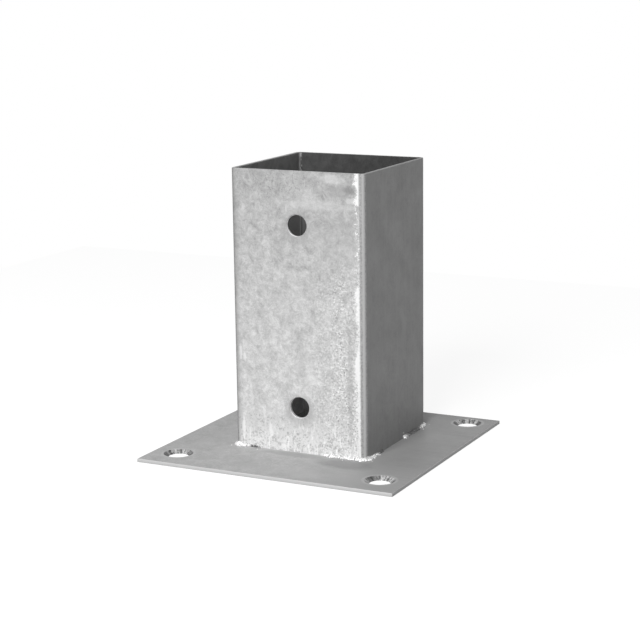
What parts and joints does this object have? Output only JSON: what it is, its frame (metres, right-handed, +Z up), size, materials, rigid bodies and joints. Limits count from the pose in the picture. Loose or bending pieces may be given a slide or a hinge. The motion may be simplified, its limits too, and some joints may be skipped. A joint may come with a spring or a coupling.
{
  "type": "timber post base",
  "caption": "Bolt-down base for a square timber post: a galvanised steel sleeve, open at the top and punched for cross bolts, welded to a square base plate with four countersunk anchor holes.",
  "frame": {"origin": "centre of the base plate's underside", "axes": "+Z up along the post, +X along the sleeve's punched front wall, +Y from the front wall to the back wall"},
  "size_m": [0.15, 0.15, 0.155],
  "materials": {
    "galvanised_plate": "satin hot-dip zinc",
    "galvanised_sleeve": "mottled hot-dip zinc",
    "galvanised_weld": "bright lumpy zinc over weld beads"
  },
  "bodies": {
    "root": {"base_plate": "galvanised_plate", "post_sleeve": "galvanised_sleeve", "weld_front_left": "galvanised_weld", "weld_front_right": "galvanised_weld", "weld_back_right": "galvanised_weld", "weld_back_left": "galvanised_weld"}
  },
  "joints": []
}
